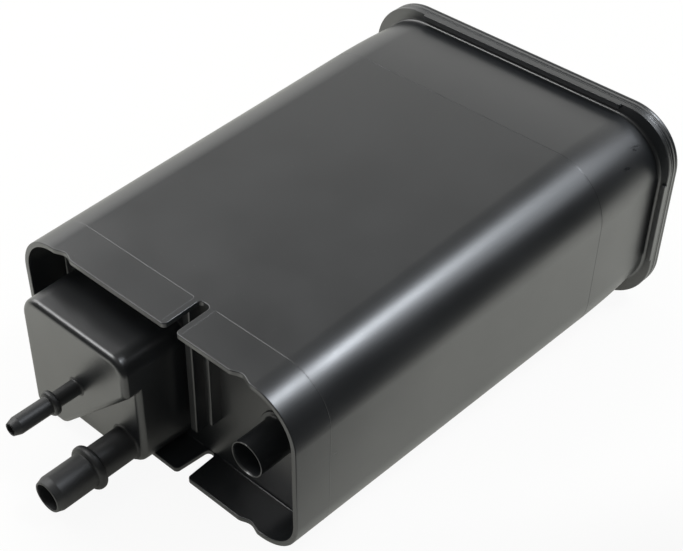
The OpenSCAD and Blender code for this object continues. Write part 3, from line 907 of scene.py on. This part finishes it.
def soft_box(surf, lo, hi, bevel, segments=3):
    bm = bmesh.new()
    bmesh.ops.create_cube(bm, size=1.0)
    lo, hi = np.array(lo, dtype=float), np.array(hi, dtype=float)
    for v in bm.verts:
        v.co = Vector((np.array(v.co) + 0.5) * (hi - lo) + lo)
    bmesh.ops.bevel(bm, geom=list(bm.edges), offset=bevel, segments=segments, profile=0.5, affect="EDGES")
    bm.verts.ensure_lookup_table()
    points = np.array([tuple(v.co) for v in bm.verts])
    faces = [tuple(v.index for v in f.verts) for f in bm.faces]
    bm.free()
    surf.add(points, faces)


def guide_ribs():
    surf = Surface()
    top = FRONT[1] / 2 - WALL + RIB_INTO_WALL
    for left, right, low, edge in GUIDE_RIBS:
        soft_box(surf, (left, PLATE_Y - RIB_REACH, low), (right, PLATE_Y + RIB_SUNK, top), edge, 4)
    surf.build("guide_ribs", shell_mat, "canister_body")


def grip_strips():
    surf = Surface()
    front, back = FLANGE_Y - STRIP_RISE, FLANGE_Y + STRIP_SUNK
    w, h = FLANGE[0] / 2, FLANGE[1] / 2
    for side in (-1, 1):
        low, high = sorted((side * h, side * (h - STRIP_WIDTH)))
        soft_box(surf, (-STRIP_HALF_X, front, low), (STRIP_HALF_X, back, high), STRIP_EDGE)
        left, right = sorted((side * w, side * (w - STRIP_WIDTH)))
        soft_box(surf, (left, front, -STRIP_HALF_Z), (right, back, STRIP_HALF_Z), STRIP_EDGE)
    surf.build("grip_strips", shell_mat, "canister_body")


# Rear cover

# The cover's edge with its weld groove and fine lines: distance behind the weld, inset, lean of the normal.
COVER_PROFILE = (
    (-0.05, 0.55, 0.0), (0.25, 0.5, 0.0), (0.4, 0.22, -0.6), (0.8, 0.12, 0.0), (1.3, 0.2, 0.5),
    (1.5, 0.55, 0.2), (1.75, 0.55, -0.2), (1.9, 0.08, -0.6), (2.1, 0.0, 0.0),
    (3.1, 0.0, 0.3), (3.22, 0.22, 0.5), (3.38, 0.22, -0.5), (3.5, 0.0, -0.3),
)
COVER_EDGE = 0.7
# The pocket at the back: border round it, depth, rounding of its brim and of its bottom.
POCKET_BORDER, POCKET_DEPTH, POCKET_BRIM, POCKET_FILLET = 9.0, 2.2, 0.5, 0.6
# Ribs that part the pocket into cells: cells across and up, half width, edge rounding, overlaps.
POCKET_CELLS = (6, 4)
POCKET_RIB_HALF, POCKET_RIB_EDGE, POCKET_RIB_SUNK, POCKET_RIB_OVER = 0.9, 0.35, 0.6, 0.3


def pocket_ribs(surf, w, h, low):
    reach_x, reach_z = w / 2 + POCKET_RIB_OVER, h / 2 + POCKET_RIB_OVER
    half = POCKET_RIB_HALF
    for i in range(1, POCKET_CELLS[0]):
        x = w * (i / POCKET_CELLS[0] - 0.5)
        soft_box(surf, (x - half, low, -reach_z), (x + half, COVER_Y, reach_z), POCKET_RIB_EDGE)
    for i in range(1, POCKET_CELLS[1]):
        z = h * (i / POCKET_CELLS[1] - 0.5)
        soft_box(surf, (-reach_x, low, z - half), (reach_x, COVER_Y, z + half), POCKET_RIB_EDGE)


def rear_cover():
    surf = Surface()
    panel = COVER_Y - POCKET_DEPTH
    pocket = (FLANGE[0] - 2 * POCKET_BORDER, FLANGE[1] - 2 * POCKET_BORDER, FLANGE[2] - POCKET_BORDER)
    points = [ring(FLANGE, inset, WELD_Y + y) for y, inset, _ in COVER_PROFILE]
    normals = [ring_normals(1.0, back) for _, _, back in COVER_PROFILE]
    for a in quarter(6):
        inset = COVER_EDGE * (1 - math.cos(a))
        points.append(ring(FLANGE, inset, COVER_Y - COVER_EDGE * (1 - math.sin(a))))
        normals.append(ring_normals(math.cos(a), math.sin(a)))
    for a in quarter(5):
        inset = -POCKET_BRIM * (1 - math.sin(a))
        points.append(ring(pocket, inset, COVER_Y - POCKET_BRIM * (1 - math.cos(a))))
        normals.append(ring_normals(-math.sin(a), math.cos(a)))
    for a in quarter(5):
        inset = POCKET_FILLET * (1 - math.cos(a))
        points.append(ring(pocket, inset, panel + POCKET_FILLET * (1 - math.sin(a))))
        normals.append(ring_normals(-math.cos(a), math.sin(a)))
    surf.grid(points, normals)
    surf.cap(points[-1], 1.0)
    pocket_ribs(surf, pocket[0], pocket[1], panel - POCKET_RIB_SUNK)
    surf.build("cover", shell_mat, "rear_cover")


body_shell()
witness_line()
end_plate()
port_box()
hose_port("tank_port", x=-11.0, z=-30.1, face=BOX_LOW_FACE, od=15.82, bead_od=20.0, bead_w=4.4,
          bead_at=21.7, reach=48.8, bore=12.0)
hose_port("purge_port", x=-31.8, z=-8.2, face=BOX_FACE, od=7.89, bead_od=11.2, bead_w=3.4,
          bead_at=20.0, reach=46.8, bore=5.0)
vent_tube()
guide_ribs()
grip_strips()
rear_cover()

# The inner pieces keep the solids' shapes and take their looks here.
for node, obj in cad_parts.items():
    if node in ("canister_body", "rear_cover"):
        continue
    if "bed" in node:
        mat = carbon_mat
    elif "pad" in node:
        mat = felt_mat
    elif "spring" in node:
        mat = wire_mat
    else:
        mat = inner_mat
    obj.data.materials.clear()
    obj.data.materials.append(mat)


# Stage, in metres

WHITE = (1.0, 1.0, 1.0, 1.0)
FLOOR_HALF, FLOOR_GAP = 6.0, 0.0002
# Shade on the floor, from where the flange rests: its direction, where it starts and where it is full.
RIGHT_SHADE = ((1.0, -0.55, 0.0), 0.184, 0.264)
FRONT_SHADE = ((0.0, -1.0, 0.0), 0.38, 0.55)
# Shade under the skirt: its middle, the radii where it starts to fade and ends, and its depth.
NOOK_AT, NOOK_SPAN, NOOK_SHADE = (0.03, -0.253, 0.0), (0.03, 0.08), 0.5
FLOOR_COLOUR, FLOOR_SHADED = (0.86, 0.86, 0.80), (0.04, 0.04, 0.04)
# How much of the floor is plain white to the camera, to it in full shade, and in reflections.
FLOOR_SEEN, FLOOR_SEEN_SHADED, FLOOR_MIRRORED = 0.93, 0.97, 0.38
FLOOR_GLOW, STUDIO_GLOW = (1.0, 1.0, 0.91, 1.0), (1.0, 1.0, 0.97, 1.0)

# The studio, by direction: the bright back wall's side and fade, its upper end, and the faint ceiling.
EVEN_LIGHT = 0.6
BACK_WALL, BACK_WALL_FADE = (-0.75, 0.66, 0.0), (0.25, 0.65)
BACK_WALL_TOP, BACK_WALL_ABOVE = (0.43, 0.73), 0.06
CEILING_FADE, CEILING_LIGHT = (0.6, 0.85), (0.024, 0.16)

# Each lamp: place, side length, power in watts and colour.
COOL_LAMP, WHITE_LAMP = (0.88, 0.93, 1.0), (1.0, 1.0, 1.0)
LAMP_AIM = (0.0, 0.0, 0.05)
LAMPS = {
    "key": ((0.49, 0.58, 1.27), 0.28, 5.8, COOL_LAMP),
    "rear": ((0.55, 0.85, 1.0), 0.7, 2.3, COOL_LAMP),
    "fill": ((-1.05, -0.1, 0.85), 0.8, 4.5, WHITE_LAMP),
    "top": ((-0.65, -0.35, 1.2), 0.45, 3.8, WHITE_LAMP),
}

# The photograph's camera: picture size, focal length and centre in pixels, direction in degrees, and place.
PHOTO_W, PHOTO_H = 683.0, 551.0
FOCAL_PX, CENTRE_PX = 1389.56, (341.08, 282.97)
CAMERA_AZIMUTH, CAMERA_ELEVATION, CAMERA_ROLL = 41.44, 40.615, -1.38
CAMERA_AT = (0.3099, -0.3358, 0.44195)
SENSOR_MM = 36.0


def white_to_camera(tree, rays, colour):
    """The colour for every ray but the camera's, which meets white."""
    return mixed_colour(tree, rays["Is Camera Ray"], colour, WHITE)


def mirrored_rays(tree, rays):
    return greatest(tree, rays["Is Glossy Ray"], rays["Is Transmission Ray"])


def floor_material():
    """White paper, shaded far to the right, in front and under the skirt; the camera sees it white."""
    mat, tree, shader, spot = new_material("floor_paper")
    rays = add_node(tree, "ShaderNodeLightPath").outputs
    sides = [smooth(tree, along(tree, spot, way), start, end)
             for way, start, end in (RIGHT_SHADE, FRONT_SHADE)]
    inputs = {0: spot, 1: NOOK_AT}
    away = add_node(tree, "ShaderNodeVectorMath", inputs, operation="DISTANCE").outputs["Value"]
    shade = greatest(tree, *sides, smooth(tree, away, *NOOK_SPAN, NOOK_SHADE, 0.0))
    feed(tree, shader, {
        "Base Color": ramp(tree, shade, FLOOR_COLOUR, FLOOR_SHADED),
        "Roughness": 0.9,
        "Specular IOR Level": 0.1,
    })
    inputs = {"Color": white_to_camera(tree, rays, FLOOR_GLOW), "Strength": 1.0}
    glow = add_node(tree, "ShaderNodeEmission", inputs)
    plain = greatest(tree, maths(tree, "MULTIPLY", shade, FLOOR_SEEN_SHADED), FLOOR_SEEN)
    seen = maths(tree, "MULTIPLY", rays["Is Camera Ray"], plain)
    lit = maths(tree, "MULTIPLY", maths(tree, "SUBTRACT", 1.0, shade), FLOOR_MIRRORED)
    mirrored = maths(tree, "MULTIPLY", mirrored_rays(tree, rays), lit)
    mix = add_node(tree, "ShaderNodeMixShader", {
        0: greatest(tree, seen, mirrored),
        1: shader.outputs["BSDF"],
        2: glow.outputs["Emission"],
    })
    feed(tree, tree.nodes["Material Output"], {"Surface": mix.outputs["Shader"]})
    return mat


def stage_floor():
    """A pale floor, tilted to touch the front of the shell and the flange, as the part lies."""
    tilt = math.atan2(AXIS_Z - FRONT[1] / 2, WELD_Y)
    mesh = bpy.data.meshes.new("floor")
    corners = []
    for u, v in ((-1, -1), (1, -1), (1, 1), (-1, 1)):
        corners.append((u * FLOOR_HALF, v * FLOOR_HALF * math.cos(tilt), -v * FLOOR_HALF * math.sin(tilt)))
    mesh.from_pydata(corners, [], [(0, 1, 2, 3)])
    mesh.materials.append(floor_material())
    floor = bpy.data.objects.new("floor", mesh)
    floor.location = (0.0, (WELD_Y - MID_Y) / MM_PER_M, -FLOOR_GAP)
    bpy.context.collection.objects.link(floor)


def world_light():
    """An even soft light; reflections show a bright wall at the back left and a faint ceiling."""
    world = bpy.data.worlds.new("studio")
    bpy.context.scene.world = world
    world.use_nodes = True
    tree = world.node_tree
    even = tree.nodes["Background"]
    feed(tree, even, {"Color": WHITE, "Strength": EVEN_LIGHT})
    rays = add_node(tree, "ShaderNodeLightPath").outputs
    way = add_node(tree, "ShaderNodeTexCoord").outputs["Generated"]
    up = along(tree, way, (0.0, 0.0, 1.0))
    side = smooth(tree, along(tree, way, BACK_WALL), *BACK_WALL_FADE)
    wall = maths(tree, "MULTIPLY", side, smooth(tree, up, *BACK_WALL_TOP, 1.0, BACK_WALL_ABOVE))
    ceiling = smooth(tree, up, *CEILING_FADE, *CEILING_LIGHT)
    studio = add_node(tree, "ShaderNodeBackground", {
        "Color": white_to_camera(tree, rays, STUDIO_GLOW),
        "Strength": greatest(tree, wall, ceiling, rays["Is Camera Ray"]),
    })
    mix = add_node(tree, "ShaderNodeMixShader", {
        0: greatest(tree, rays["Is Camera Ray"], mirrored_rays(tree, rays)),
        1: even.outputs["Background"],
        2: studio.outputs["Background"],
    })
    feed(tree, tree.nodes["World Output"], {"Surface": mix.outputs["Shader"]})


def soft_lamp(name, place, side, power, colour):
    data = bpy.data.lights.new(name, "AREA")
    data.color = colour
    data.shape = "SQUARE"
    data.size = side
    data.energy = power
    lamp = bpy.data.objects.new(name, data)
    lamp.location = place
    lamp.rotation_euler = (Vector(LAMP_AIM) - Vector(place)).to_track_quat("-Z", "Y").to_euler()
    bpy.context.collection.objects.link(lamp)


def photo_camera():
    az, el, roll = map(math.radians, (CAMERA_AZIMUTH, CAMERA_ELEVATION, CAMERA_ROLL))
    back = Vector((math.cos(el) * math.sin(az), -math.cos(el) * math.cos(az), math.sin(el)))
    right = Vector((0, 0, 1)).cross(back).normalized()
    up = back.cross(right).normalized()
    across = right * math.cos(roll) - up * math.sin(roll)
    upward = up * math.cos(roll) + right * math.sin(roll)
    data = bpy.data.cameras.new("photo_camera")
    data.sensor_width = SENSOR_MM
    data.sensor_fit = "HORIZONTAL"
    data.lens = FOCAL_PX * SENSOR_MM / PHOTO_W
    data.shift_x = (PHOTO_W / 2 - CENTRE_PX[0]) / PHOTO_W
    data.shift_y = (CENTRE_PX[1] - PHOTO_H / 2) / PHOTO_W
    data.clip_start = 0.01
    cam = bpy.data.objects.new("photo_camera", data)
    axes = Matrix((across, upward, back)).transposed()
    cam.matrix_world = Matrix.Translation(CAMERA_AT) @ axes.to_4x4()
    bpy.context.collection.objects.link(cam)
    bpy.context.scene.camera = cam


stage_floor()
world_light()
for lamp_name, settings in LAMPS.items():
    soft_lamp(lamp_name, *settings)
photo_camera()
bpy.context.scene.view_settings.view_transform = "Standard"
